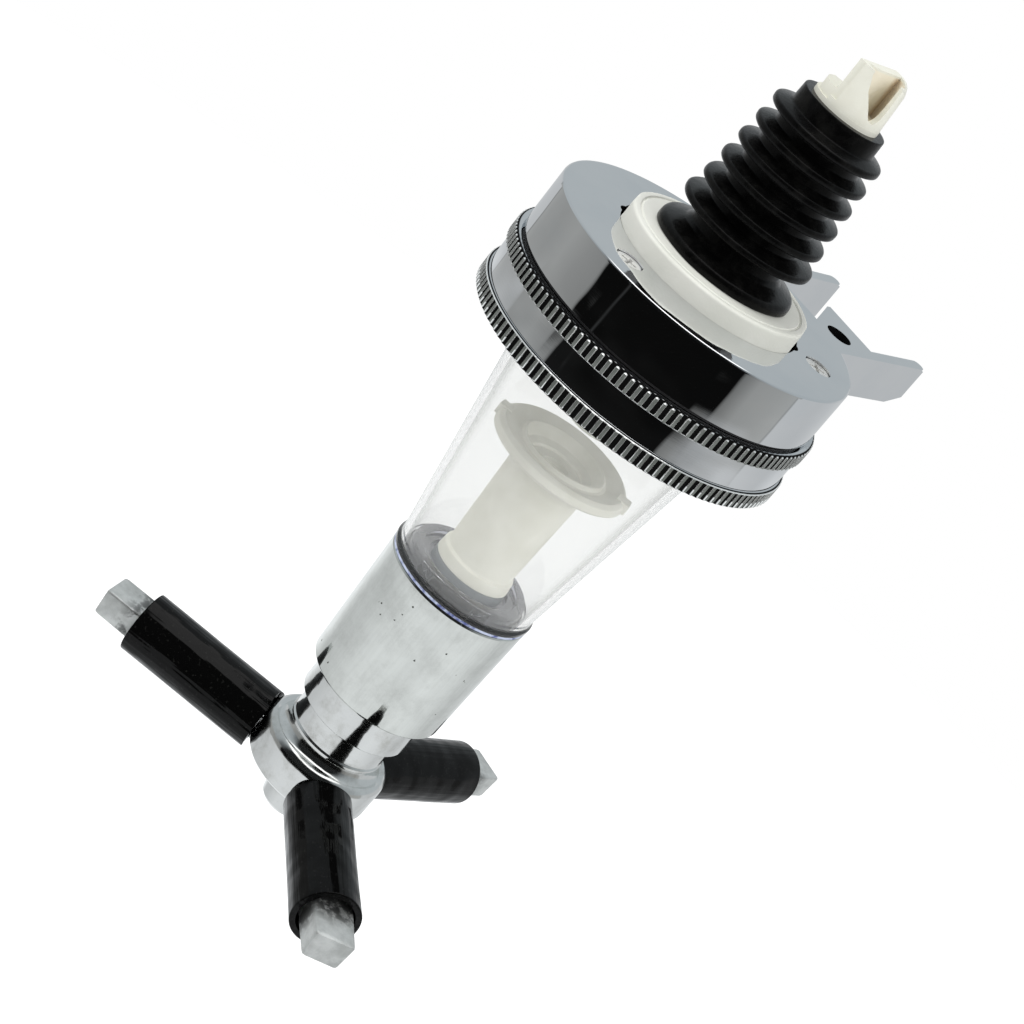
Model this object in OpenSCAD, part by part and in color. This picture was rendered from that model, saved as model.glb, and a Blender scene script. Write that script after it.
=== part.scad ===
// Liquor optic dispenser: an inverted spirit bottle fills a clear measuring chamber,
// and pushing the three arms up with a glass shuts the inlet and lets one measure out.
// Millimetres. +Z points up, towards the bottle. The origin is on the axis, in the
// plane of the chrome head's top face. The bracket fork points along +Y.

/* [Head] */
// Radius of the chrome head
head_r = 31; // [25.5:0.5:38]
// Height of the chrome head
head_h = 10.8; // [9:0.2:14]
// Radius of the white ring in the middle of the head
ring_r = 18.9; // [16.5:0.05:22.5]
// Number of screws that hold the head
screw_count = 3; // [2:1:6]

/* [Bracket fork] */
// Clear width between the two prongs
fork_gap = 21; // [18:0.2:25.2]
// Distance from the axis to the end of the longer prong
fork_reach = 57.7; // [48:0.1:69.3]
// Depth of a prong below the head's top face
prong_h = 8.6; // [7:0.1:10.4]
// Radius of the locking screw's hole in the fork's web
bracket_hole_r = 2.65; // [2.1:0.05:3.2]

/* [Locking nut] */
// Height of the knurled nut
nut_h = 12.5; // [10:0.1:15]
// Height of one knurled band
knurl_h = 3.1; // [2:0.1:4]
// Number of teeth round a knurled band
knurl_teeth = 124; // [60:2:144]

/* [Stopper and inlet] */
// Radius of the stopper's widest fin
fin_r = 13.35; // [11.5:0.05:16]
// Number of fins on the stopper
fin_count = 6; // [4:1:7]
// Distance from one fin to the next
fin_pitch = 4.22; // [3.8:0.02:5.2]
// Radius of the white inlet above the stopper
inlet_r = 7.1; // [6:0.1:8.5]

/* [Measuring chamber] */
// Outer radius of the chamber under the nut
chamber_top_r = 21.2; // [18:0.1:25.4]
// Outer radius of the chamber at its lower end
chamber_bottom_r = 14.55; // [12.4:0.05:17]
// Height of the chamber below the nut
chamber_h = 49; // [42:0.5:60]
// Thickness of the chamber wall
chamber_wall = 1.6; // [1.2:0.1:2]

/* [Valve body] */
// Height of the valve body
body_h = 27.6; // [24:0.2:34]
// Length of the wide part of the neck that shows below the body
neck_h = 7.3; // [6:0.1:9]
// Length of the narrow part of the neck
waist_h = 5.7; // [4.5:0.1:7]
// Travel of the plunger
stroke = 10; // [7:0.5:12]

/* [Arms] */
// Radius of the hub
hub_r = 13.2; // [11.8:0.1:16]
// Distance from the axis to the end of a bar
bar_reach = 50.5; // [42:0.5:61]
// Width of a bar at its top
bar_w = 8.4; // [7:0.1:8.8]
// Height of a bar
bar_h = 6; // [5:0.1:7]
// Radius of the black sleeve on a bar
sleeve_r = 6.41; // [6.2:0.05:7.7]
// Angle of the first bar from +X at rest
bar_angle = 86.6; // [0:0.2:120]

/* [Hidden] */

// Facets of a round part, and of a small one
FN = 96;
FN_SMALL = 48;
// Overlap that joins two solids of one piece, or lets a cutter pass a face
EPS = 0.5;
// Radial clearance of a fixed fit and of a running fit, and gap between stop faces
FIXED_FIT = 0.02;
RUN_FIT = 0.06;
STOP_GAP = 0.05;

// Head: the hole for the ring, the screws and the key notches beside the ring
ring_hole_r = ring_r + 0.1;
ring_top = 3.5;
land_w = head_r - ring_r;
ring_flange_r = ring_hole_r + 0.235 * land_w;
ring_flange_h = 1.8;
screw_pcd_r = ring_r + 0.42 * land_w;
screw_head_r = 0.21 * land_w;
screw_r = 0.5 * screw_head_r;
screw_len = 17;
screw_sink = 0.35;
screw_rim_h = 0.3;
screw_angle = 30;
key_notch_r = 2.1;
key_angles = [30, 210];
edge_r = 0.5;

// Fork: its offset from the axis, the walls of the prongs, their rims, and the web
fork_x = 2;
prong_t = 2.6;
prong_step = 2.4;
rim_over = 0.3;
rim_h = 1.3;
web_t = 3.2;
web_y = fork_reach - 17.2;
web_x0 = 0.3;
web_x1 = fork_x + fork_gap / 2 + 1;
flat_y = head_r - 1.5;
flat_x = 5.5;
bracket_hole = [fork_x + fork_gap / 2 - 3.2, head_r + 1.9];

// Heights of the faces where the fixed pieces meet, from the top down
gasket_h = 0.6;
nut_top = -head_h - gasket_h - 0.1;
nut_bottom = nut_top - nut_h;
nut_lip_h = 1.4;
carrier_top = -head_h - gasket_h;
lip_top = nut_bottom + nut_lip_h;
chamber_flange_h = 1.8;
chamber_top = lip_top + chamber_flange_h;
chamber_gasket_h = 0.8;
carrier_bottom = chamber_top + chamber_gasket_h;
chamber_bottom = nut_bottom - chamber_h;
joint_h = 0.6;
body_top = chamber_bottom - joint_h;
body_bottom = body_top - body_h;

// Radii of the nut and of the ring that it screws on
nut_r = head_r + 0.6;
knurl_r = nut_r + 0.7;
knurl_depth = 0.35;
knurl_phase = -0.24;
carrier_r = head_r - 3;
carrier_in_r = ring_flange_r - 2.2;
lip_r = chamber_top_r + 0.6;

// Valve body and neck
body_top_r = chamber_bottom_r + 0.4;
body_bottom_r = body_top_r - 0.97;
bead_r = chamber_bottom_r + 0.55;
cavity_r = body_bottom_r - 1.6;
neck_r = cavity_r - 0.88;
waist_r = neck_r - 1.7;
floor_h = 3;

// Stem, plug and spring
stem_r = 5;
stem_bore_r = 3;
rod_r = 2.5;
plug_rise = 2.8;
plug_top = chamber_bottom + plug_rise;
plug_bottom = body_top - 3.4;
plug_r = min(cavity_r, chamber_bottom_r - chamber_wall) - FIXED_FIT * 3;
seat_floor = plug_top - 1.6;
collar_r = 7.8;
collar_top = plug_top + 0.4;
washer_h = 0.8;
cup_h = 1.75;
cup_top = body_bottom + floor_h + STOP_GAP + cup_h;
spring_top = plug_bottom - washer_h;
spring_len = spring_top - cup_top;
wire_r = 0.6;
spring_r = (stem_r + cavity_r) / 2;
spring_turns = max(3, floor((spring_len - stroke) / (2 * wire_r)) - 2);
end_pitch = 2 * wire_r + 0.5;
RINGS_PER_TURN = 8;
WIRE_SIDES = 6;

// Displacer and the seat that it closes at the top of the stroke
disp_rim = nut_bottom - 17.06;
disp_rim_r = 13;
disp_flange_r = 14.3;
seal_top = disp_rim - 3.34;
seal_r = 5.4;
seal_h = 1;
seat_bottom = seal_top + stroke + 0.2;
seat_r = 5;
inlet_bore_r = 3.2;
inlet_tube_r = 4.6;

// Hub, bars and sleeves
hub_neck_top = cup_top - cup_h - 0.3;
waist_top = body_bottom - neck_h;
flare_top = waist_top - waist_h;
flare_h = 4.2;
hub_h = 10.8;
hub_bottom = flare_top - hub_h;
bar_z = hub_bottom + 2.8;
bar_tilt = 2;
bar_taper = 0.4;
sleeve_wall = 1.2;
sleeve_start = hub_r + 0.1;
sleeve_len = 0.782 * (bar_reach - hub_r);
nozzle_top = hub_bottom - 0.1;
nozzle_len = 8;

// Stopper
flange_r = fin_r + 0.55;
stopper_base = ring_top;
first_fin_z = 11.2;
last_fin_z = first_fin_z + (fin_count - 1) * fin_pitch;
stopper_tip = last_fin_z + 4.5;
core_base_r = 0.72 * fin_r;
core_tip_r = 0.622 * fin_r;
fin_tip_r = 0.62;

// Points of an arc about [cx, cy], from angle a0 to a1 in n steps
function arc(cx, cy, r, a0, a1, n) =
    [for (i = [0:n]) [cx + r * cos(a0 + (a1 - a0) * i / n), cy + r * sin(a0 + (a1 - a0) * i / n)]];

// A turned piece: the profile lists [radius, height] points
module turned(profile, fn = FN) {
    rotate_extrude($fn = fn) polygon(profile);
}

// A plain ring between two radii
module ring(r_out, r_in, z_low, z_high, fn = FN) {
    turned([[r_in, z_low], [r_out, z_low], [r_out, z_high], [r_in, z_high]], fn);
}

// Repeats its children at equal angles about the axis
module around(count, first = 0) {
    for (i = [0:count - 1]) rotate([0, 0, first + 360 * i / count]) children();
}

// ---------------------------------------------------------------- head

module prong(side) {
    wall_x = fork_x + side * (fork_gap / 2 + prong_t / 2);
    // The prong on the web's side is longer and has its lower corner cut off
    reach = side > 0 ? fork_reach : fork_reach - prong_step;
    depth = side > 0 ? prong_h : prong_h + 0.8;
    cut = side > 0 ? 1.7 : 0.4;
    root_y = 22;
    translate([wall_x - (prong_t - rim_over) / 2, 0, 0])
        rotate([90, 0, 90])
            linear_extrude(prong_t - rim_over)
                polygon([[root_y, -EPS], [reach, -EPS], [reach, -depth + cut],
                         [reach - 2.6 * cut, -depth], [root_y, -depth]]);
    // The rim is a little wider than the wall and round at its end
    translate([wall_x, 0, -rim_h])
        linear_extrude(rim_h)
            union() {
                translate([-prong_t / 2, root_y]) square([prong_t, reach - root_y - prong_t / 2]);
                translate([0, reach - prong_t / 2]) circle(d = prong_t, $fn = 32);
            }
}

module web() {
    translate([0, 0, -web_t])
        linear_extrude(web_t)
            polygon([[flat_x, flat_y - 6], [flat_x, flat_y], [web_x0, web_y - 1.1], [web_x0, web_y],
                     [web_x1, web_y], [web_x1, flat_y - 6]]);
}

module head_blank() {
    turned(concat([[ring_hole_r, -head_h]], [[head_r, -head_h]],
                  arc(head_r - edge_r, -edge_r, edge_r, 0, 90, 4), [[ring_hole_r, 0]]));
}

module head_cap() {
    color("silver") difference() {
        union() {
            difference() {
                head_blank();
                // Flat between the prongs, where a rail's end stops
                translate([fork_x - fork_gap / 2, flat_y, -head_h - EPS])
                    cube([flat_x - fork_x + fork_gap / 2, head_r, head_h + 2 * EPS]);
            }
            prong(-1);
            prong(1);
            web();
        }
        around(screw_count, screw_angle) translate([screw_pcd_r, 0, 0]) {
            translate([0, 0, -head_h - EPS]) cylinder(r = screw_r + 0.2, h = head_h + 2 * EPS, $fn = 32);
            countersink(0.15);
        }
        for (a = key_angles)
            rotate([0, 0, a]) translate([ring_r - 1.45, 0, -head_h - EPS])
                cylinder(r = key_notch_r, h = head_h + 2 * EPS, $fn = 32);
        translate([bracket_hole[0], bracket_hole[1], -web_t - EPS])
            cylinder(r = bracket_hole_r, h = web_t + 2 * EPS, $fn = FN_SMALL);
        // The web and the prongs stop short of the hole for the ring
        translate([0, 0, -head_h - EPS]) cylinder(r = ring_hole_r, h = head_h + 2 * EPS, $fn = FN);
    }
}

// The conical seat of a screw head, wider than the head by a clearance
module countersink(clearance) {
    r = screw_head_r + clearance;
    top_h = screw_sink + screw_rim_h;
    translate([0, 0, -top_h]) cylinder(r = r, h = top_h + EPS, $fn = 32);
    translate([0, 0, -top_h - screw_head_r / 2]) cylinder(r1 = r / 2, r2 = r, h = screw_head_r / 2, $fn = 32);
}

module head_screw() {
    cone_h = screw_head_r / 2;
    slot_w = 0.26 * screw_head_r;
    difference() {
        union() {
            translate([0, 0, -screw_sink - screw_rim_h])
                cylinder(r = screw_head_r, h = screw_rim_h, $fn = 32);
            translate([0, 0, -screw_sink - screw_rim_h - cone_h + 0.08])
                cylinder(r1 = screw_head_r / 2, r2 = screw_head_r, h = cone_h - 0.08, $fn = 32);
            translate([0, 0, -screw_len]) cylinder(r = screw_r, h = screw_len - screw_sink - 0.6, $fn = 32);
        }
        for (a = [20, 110])
            rotate([0, 0, a]) translate([-0.62 * screw_head_r, -slot_w / 2, -screw_sink - cone_h])
                cube([1.24 * screw_head_r, slot_w, cone_h + EPS]);
        translate([0, 0, -screw_sink - 1.1 * cone_h]) cylinder(r = 0.24 * screw_head_r, h = cone_h * 2, $fn = 16);
    }
}

module head_screws() {
    color("lightgray") around(screw_count, screw_angle) translate([screw_pcd_r, 0, 0]) head_screw();
}

module seat_ring() {
    bottom = -head_h - ring_flange_h;
    shoulder = 1.7;
    groove_r = ring_r - 1.9;
    color("ivory") turned(concat(
        [[inlet_tube_r + FIXED_FIT, bottom], [ring_flange_r, bottom], [ring_flange_r, -head_h],
         [ring_r, -head_h], [ring_r, 0]],
        arc(ring_r - 0.35 - shoulder, ring_top - shoulder, shoulder, 5, 78, 6),
        [[groove_r + 0.25, ring_top], [groove_r, ring_top - 0.45], [groove_r - 0.25, ring_top],
         [inlet_tube_r + FIXED_FIT, ring_top]]));
}

// ---------------------------------------------------------------- stopper and inlet

function core_r_at(z) =
    core_base_r + (core_tip_r - core_base_r) * (z - stopper_base) / (stopper_tip - stopper_base);
// The fins grow wider towards the flange
function fin_r_at(i) = fin_r * (1 - 0.165 * pow(i / (fin_count - 1), 0.6));

// One fin seen from the side: its tip is round and droops a little below its root
function fin_profile(i) =
    let (z = first_fin_z + i * fin_pitch, r = fin_r_at(i))
    concat([[core_r_at(z - 1.45), z - 1.45], [core_r_at(z - 1.1) + 0.4, z - 1.05]],
           arc(r - fin_tip_r, z - 0.35, fin_tip_r, -80, 80, 5),
           [[core_r_at(z + 0.8) + 0.4, z + 0.75], [core_r_at(z + 1.15), z + 1.15]]);

module bottle_stopper() {
    bore = inlet_tube_r + FIXED_FIT;
    color("dimgray") turned(concat(
        [[bore, stopper_base], [flange_r - 0.5, stopper_base]],
        arc(flange_r - 0.9, stopper_base + 0.95, 0.9, -60, 60, 4),
        [[core_base_r + 0.6, stopper_base + 3.1], [core_r_at(stopper_base + 4), stopper_base + 4.1]],
        [for (i = [0:fin_count - 1]) each fin_profile(i)],
        [[core_tip_r, stopper_tip - 0.25], [core_tip_r - 0.25, stopper_tip], [bore, stopper_tip]]));
}

// The notch in the mouth's side, looking at it: one edge upright, the other slanting
module mouth_notch(bottom, top) {
    round_r = 1.25;
    translate([0, 0, bottom]) rotate([90, 0, 90]) linear_extrude(2 * inlet_r) {
        translate([0, round_r]) circle(r = round_r, $fn = 32);
        polygon([[round_r, round_r], [round_r, top - bottom], [-4.3, top - bottom],
                 [-0.94 * round_r, 0.66 * round_r]]);
    }
}

// The white inlet: a round mouth cut flat on one side, a notch in it and a lower post
module inlet_spout() {
    mouth_h = 10.3;
    post_h = 4.2;
    base_h = 0.9;
    wall = 1.6;
    body_x = -3.9;
    z0 = stopper_tip;
    color("ivory") rotate([0, 0, 30]) difference() {
        union() {
            translate([0, 0, -6]) cylinder(r = inlet_tube_r, h = z0 + 6 + EPS, $fn = FN_SMALL);
            intersection() {
                translate([0, 0, z0]) cylinder(r = inlet_r, h = mouth_h + EPS, $fn = FN_SMALL);
                translate([0, inlet_r, z0])
                    rotate([90, 0, 0])
                        linear_extrude(2 * inlet_r)
                            polygon([[-inlet_r, 0], [-inlet_r, post_h - 0.5], [0.5 - inlet_r, post_h],
                                     [body_x - 1.3, post_h], [body_x - 0.6, post_h - 0.8],
                                     [body_x - 0.6, base_h], [body_x, base_h], [body_x, mouth_h],
                                     [inlet_r - 1.1, mouth_h], [inlet_r - 0.3, mouth_h - 0.4],
                                     [inlet_r, mouth_h - 1.3], [inlet_r, 0]]);
            }
        }
        translate([0, 0, -6 - EPS])
            cylinder(r = inlet_bore_r, h = z0 + mouth_h + 6 + 2 * EPS, $fn = FN_SMALL);
        // Inside of the mouth, with a crease down its far side
        translate([0, 0, z0 + base_h + 1.2]) {
            cylinder(r = inlet_r - wall - 0.7, h = mouth_h, $fn = FN_SMALL);
            rotate([0, 0, 75]) linear_extrude(mouth_h)
                polygon([[0, -4.4], [inlet_r - wall, 0], [0, 4.4]]);
        }
        rotate([0, 0, -52]) mouth_notch(z0 + base_h + 0.6, z0 + mouth_h + EPS);
    }
}

// The inlet's lower end: a flanged tube whose rim the rising displacer closes
module inlet_seat() {
    top = -head_h - ring_flange_h;
    flange_h = 2;
    color("ivory") turned([
        [inlet_bore_r, seat_bottom], [seat_r - 0.4, seat_bottom], [seat_r, seat_bottom + 0.5],
        [seat_r, top - flange_h - 2], [seat_r + 2, top - flange_h], [12, top - flange_h],
        [12, top], [inlet_bore_r, top]], FN_SMALL);
}

// ---------------------------------------------------------------- nut and carrier

module head_gasket() {
    color("darkslategray") difference() {
        ring(head_r - 0.6, ring_flange_r + 0.3, -head_h - gasket_h, -head_h);
        around(screw_count, screw_angle)
            translate([screw_pcd_r, 0, -head_h - gasket_h - EPS])
                cylinder(r = screw_r + 0.2, h = gasket_h + 2 * EPS, $fn = 32);
    }
}

// The hidden ring that the head is screwed to and the nut turns on
module carrier_ring() {
    step_r = ring_flange_r + 0.3;
    step_z = -head_h - ring_flange_h;
    color("gray") difference() {
        turned([[carrier_in_r, carrier_bottom], [carrier_r, carrier_bottom], [carrier_r, carrier_top],
                [step_r, carrier_top], [step_r, step_z], [carrier_in_r, step_z]]);
        around(screw_count, screw_angle) translate([screw_pcd_r, 0, -screw_len - 1])
            cylinder(r = screw_r + FIXED_FIT, h = screw_len, $fn = 32);
    }
}

// A knurled band: straight teeth with narrow flat tops and sloping sides
module knurl(z, h) {
    pitch = 360 / knurl_teeth;
    translate([0, 0, z]) linear_extrude(h) difference() {
        polygon([for (i = [0:knurl_teeth - 1], k = [[-0.46, 0], [-0.18, 1], [0.18, 1], [0.46, 0]])
            let (a = (i + k[0]) * pitch + knurl_phase, r = k[1] == 1 ? knurl_r : knurl_r - knurl_depth)
            [r * cos(a), r * sin(a)]]);
        circle(r = nut_r - 1.5, $fn = FN);
    }
}

module lock_nut() {
    bore = carrier_r + 0.05;
    waist = nut_r;
    lower_knurl_top = nut_bottom + knurl_h + 0.2;
    color("silver") {
        turned([[lip_r, nut_bottom], [waist - 0.6, nut_bottom], [waist, nut_bottom + 0.4],
                [waist, nut_top - 0.3], [waist - 0.3, nut_top], [bore, nut_top],
                [bore, lip_top], [lip_r, lip_top]]);
        knurl(nut_top - knurl_h - 0.1, knurl_h);
        knurl(nut_bottom + 0.2, lower_knurl_top - nut_bottom - 0.2);
    }
}

// ---------------------------------------------------------------- chamber

module chamber_gasket() {
    color("darkslategray")
        ring(carrier_r - 0.3, carrier_in_r + 0.5, chamber_top, chamber_top + chamber_gasket_h);
}

module measuring_chamber() {
    flange_r = carrier_r - 0.2;
    bead_h = 0.7;
    top_in_r = chamber_top_r - chamber_wall;
    color("lightcyan", 0.35) turned([
        [chamber_bottom_r - chamber_wall, chamber_bottom], [bead_r, chamber_bottom],
        [bead_r, chamber_bottom + bead_h], [chamber_bottom_r, chamber_bottom + bead_h + 0.3],
        [chamber_top_r, nut_bottom], [chamber_top_r, lip_top], [flange_r, lip_top],
        [flange_r, chamber_top], [top_in_r, chamber_top], [top_in_r, lip_top]]);
}

module joint_seal() {
    color("slategray") ring(bead_r - 0.1, plug_r + 0.2, body_top, chamber_bottom);
}

// Clear plug in the chamber's floor: the stem slides in its bore
module chamber_plug() {
    step_r = 10.2;
    recess_r = collar_r + 0.8;
    color("lightsteelblue", 0.5) turned([
        [stem_r + RUN_FIT, plug_bottom], [plug_r, plug_bottom], [plug_r, plug_top],
        [min(step_r, plug_r - 0.8), plug_top], [min(step_r, plug_r - 0.8), plug_top - 0.8],
        [recess_r, plug_top - 0.8], [recess_r, seat_floor], [stem_r + RUN_FIT, seat_floor]]);
}

// ---------------------------------------------------------------- valve body

module valve_body() {
    color("gainsboro") turned([
        [neck_r + RUN_FIT, body_bottom], [body_bottom_r - 0.5, body_bottom],
        [body_bottom_r, body_bottom + 0.5], [body_top_r, body_top - 0.3],
        [body_top_r - 0.3, body_top], [cavity_r, body_top],
        [cavity_r, body_bottom + floor_h], [neck_r + RUN_FIT, body_bottom + floor_h]]);
}

module spring_washer() {
    color("silver") ring(cavity_r - 0.2, stem_r + 0.6, spring_top, plug_bottom, FN_SMALL);
}

// Height of the spring's centre line after t turns: the end turns lie closer together
function coil_z(t) =
    let (inner = (spring_len - 2 * wire_r - 2 * end_pitch) / (spring_turns - 2))
    t < 1 ? t * end_pitch
    : t < spring_turns - 1 ? end_pitch + (t - 1) * inner
    : end_pitch + (spring_turns - 2) * inner + (t - spring_turns + 1) * end_pitch;

COIL_RINGS = spring_turns * RINGS_PER_TURN;
// The gap between neighbouring turns, measured along the axis
coil_gap = min([for (i = [0:COIL_RINGS - RINGS_PER_TURN])
    coil_z((i + RINGS_PER_TURN) / RINGS_PER_TURN) - coil_z(i / RINGS_PER_TURN)]) - 2 * wire_r;
echo(least_gap_between_spring_turns = coil_gap);

module return_spring() {
    points = [for (i = [0:COIL_RINGS], k = [0:WIRE_SIDES - 1])
        let (a = 360 * i / RINGS_PER_TURN, b = 360 * (k + 0.5) / WIRE_SIDES,
             r = spring_r + wire_r * cos(b),
             z = cup_top + wire_r + coil_z(i / RINGS_PER_TURN) + wire_r * sin(b))
        [r * cos(a), r * sin(a), z]];
    start_cap = [for (k = [0:WIRE_SIDES - 1]) k];
    end_cap = [for (k = [0:WIRE_SIDES - 1]) COIL_RINGS * WIRE_SIDES + WIRE_SIDES - 1 - k];
    sides = [for (i = [0:COIL_RINGS - 1], k = [0:WIRE_SIDES - 1])
        let (a = i * WIRE_SIDES + k, b = i * WIRE_SIDES + (k + 1) % WIRE_SIDES)
        [a, a + WIRE_SIDES, b + WIRE_SIDES, b]];
    color("silver") polyhedron(points, concat([start_cap], sides, [end_cap]), 4);
}

// ---------------------------------------------------------------- plunger

// The white bobbin that fills part of the chamber and shuts the inlet when it rises
module displacer() {
    bore = rod_r + FIXED_FIT;
    shoulder = seat_floor + 2.2;
    foot_r = 6.9;
    shaft_r = 7.75;
    tab_w = 2.4;
    color("linen") {
        turned([
            [stem_r + FIXED_FIT, collar_top], [collar_r - 0.05, collar_top],
            [collar_r - 0.3, collar_top + 2.1], [collar_r - 0.55, collar_top + 2.5],
            [foot_r, collar_top + 2.65], [shaft_r, disp_rim - 5.9], [shaft_r + 0.8, disp_rim - 4.6],
            [disp_flange_r - 0.9, disp_rim - 2.6], [disp_flange_r, disp_rim - 1.9],
            [disp_rim_r + 0.4, disp_rim - 0.25], [disp_rim_r, disp_rim],
            [disp_rim_r - 0.5, disp_rim - 0.2], [9.5, disp_rim - 1.2], [9.1, disp_rim - 1.1],
            [8.85, disp_rim - 0.25], [8.5, disp_rim - 0.15], [8.1, disp_rim - 0.6],
            [7.2, disp_rim - 2.3], [seal_r + 0.3, disp_rim - 2.85], [seal_r + FIXED_FIT, seal_top - seal_h],
            [bore, seal_top - seal_h], [bore, shoulder], [stem_r + FIXED_FIT, shoulder]]);
        for (a = key_angles)
            rotate([0, 0, a]) translate([disp_rim_r - 1, -tab_w / 2, disp_rim - 1.6])
                cube([2.7, tab_w, 1.7]);
    }
}

module inlet_seal() {
    color("whitesmoke") ring(seal_r, rod_r + 0.3, seal_top - seal_h, seal_top, FN_SMALL);
}

module outlet_seal() {
    color("darkslategray")
        ring(collar_r, stem_r + FIXED_FIT, seat_floor + STOP_GAP, collar_top, FN);
}

// The hollow stem: its side ports open into the chamber when the plunger rises
module stem() {
    shoulder = seat_floor + 2.2 - FIXED_FIT;
    bottom = nozzle_top - nozzle_len + 1.6;
    bore_top = seat_floor - 1;
    port_r = 1.2;
    port_z = seat_floor - 2.6;
    color("lightgray") difference() {
        turned([
            [0, bottom], [stem_r - 1, bottom], [stem_r - 1, nozzle_top + 0.1],
            [stem_r, nozzle_top + 0.1], [stem_r, shoulder], [rod_r, shoulder],
            [rod_r, seal_top - seal_h - 1], [0, seal_top - seal_h - 1]], FN_SMALL);
        translate([0, 0, bottom - EPS]) cylinder(r = stem_bore_r, h = bore_top - bottom + EPS, $fn = FN_SMALL);
        for (a = [0, 90]) rotate([0, 90, a]) translate([-port_z, 0, -stem_r - EPS])
            cylinder(r = port_r, h = 2 * (stem_r + EPS), $fn = 24);
    }
}

module retaining_clip() {
    clip_h = 0.7;
    color("dimgray") difference() {
        ring(stem_r + 1.7, stem_r + FIXED_FIT, cup_top + 0.02, cup_top + clip_h, FN_SMALL);
        translate([0, -2, cup_top - EPS]) cube([stem_r * 2, 4, clip_h + 2 * EPS]);
    }
}

// The cup under the spring: it also stops the plunger on the body's floor
module spring_cup() {
    color("silver") turned([
        [stem_r + FIXED_FIT, cup_top - cup_h], [cavity_r - 0.35, cup_top - cup_h],
        [cavity_r - 0.35, cup_top + 1.2], [cavity_r - 1.15, cup_top + 1.2],
        [cavity_r - 1.15, cup_top], [stem_r + FIXED_FIT, cup_top]], FN_SMALL);
}

// The outlet screws on the stem's end and keeps the hub on it
module outlet_nozzle() {
    flange_r = 8.5;
    flange_h = 2.4;
    tip_r = 4.9;
    end = nozzle_top - nozzle_len;
    color("silver") turned([
        [stem_bore_r, end], [tip_r - 0.5, end], [tip_r, end + 0.6], [tip_r + 0.7, nozzle_top - flange_h - 1],
        [flange_r, nozzle_top - flange_h], [flange_r, nozzle_top - 0.4], [flange_r - 0.4, nozzle_top],
        [stem_r - 1 + FIXED_FIT, nozzle_top], [stem_r - 1 + FIXED_FIT, end + 1.5],
        [stem_bore_r, end + 1.5]], FN_SMALL);
}

// ---------------------------------------------------------------- hub and arms

// Turns its children from +Z to the direction of a bar, tilted a little downwards
module along_bar(angle) {
    translate([0, 0, bar_z]) rotate([0, 90 + bar_tilt, angle]) children();
}

module bar(angle) {
    root = stem_r + 4;
    half = bar_w / 2;
    along_bar(angle) translate([0, 0, root])
        linear_extrude(bar_reach - root)
            polygon([[-bar_h / 2, -half], [-bar_h / 2, half], [bar_h / 2, half - bar_taper],
                     [bar_h / 2, -half + bar_taper]]);
}

module arm_hub() {
    ridge = 0.3;
    cove_r = 2.3;
    rim_z = flare_top - flare_h;
    color("gainsboro") union() {
        turned(concat(
            [[stem_r + RUN_FIT, hub_bottom], [hub_r - 0.7, hub_bottom], [hub_r - 0.2, hub_bottom + 0.5],
             [hub_r, rim_z]],
            arc(hub_r - 2.2, rim_z, 2.2, 0, 60, 4),
            arc(waist_r + cove_r, flare_top - 0.6, cove_r, 270 - 20, 180, 4),
            [[waist_r + ridge, flare_top - 0.3], [waist_r + ridge, flare_top + 0.2],
             [waist_r, flare_top + 0.5], [waist_r, waist_top], [neck_r, waist_top],
             [neck_r, hub_neck_top], [stem_r + RUN_FIT, hub_neck_top]]));
        for (i = [0:2]) bar(bar_angle + 120 * i);
    }
}

module sleeve(angle) {
    edge = 0.4;
    inner = sleeve_r - sleeve_wall;
    end = sleeve_start + sleeve_len;
    color("black") along_bar(angle) turned([
        [inner, sleeve_start], [sleeve_r - edge, sleeve_start], [sleeve_r, sleeve_start + edge],
        [sleeve_r, end - edge], [sleeve_r - edge, end], [inner, end]], FN_SMALL);
}

head_cap();
head_screws();
seat_ring();
bottle_stopper();
inlet_spout();
inlet_seat();
head_gasket();
carrier_ring();
lock_nut();
chamber_gasket();
measuring_chamber();
joint_seal();
chamber_plug();
valve_body();
spring_washer();
return_spring();
displacer();
inlet_seal();
outlet_seal();
stem();
retaining_clip();
spring_cup();
outlet_nozzle();
arm_hub();
sleeve(bar_angle);  // sleeve_rear
sleeve(bar_angle + 120);  // sleeve_left
sleeve(bar_angle + 240);  // sleeve_right
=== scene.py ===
# %% [markdown]
# # Liquor optic dispenser
#
# A dispenser that hangs under an upturned spirit bottle. The rubber stopper plugs the
# bottle's neck, a clear chamber holds one measure, and a glass pushed up against the three
# arms lets that measure out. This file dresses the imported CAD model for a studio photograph:
# it sets the camera, the table and the light, mixes the finishes, and rebuilds the pieces
# whose edges and surface matter close up.

# %% Load the frame
import math

import bmesh
import bpy
from mathutils import Matrix, Vector, noise


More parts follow.
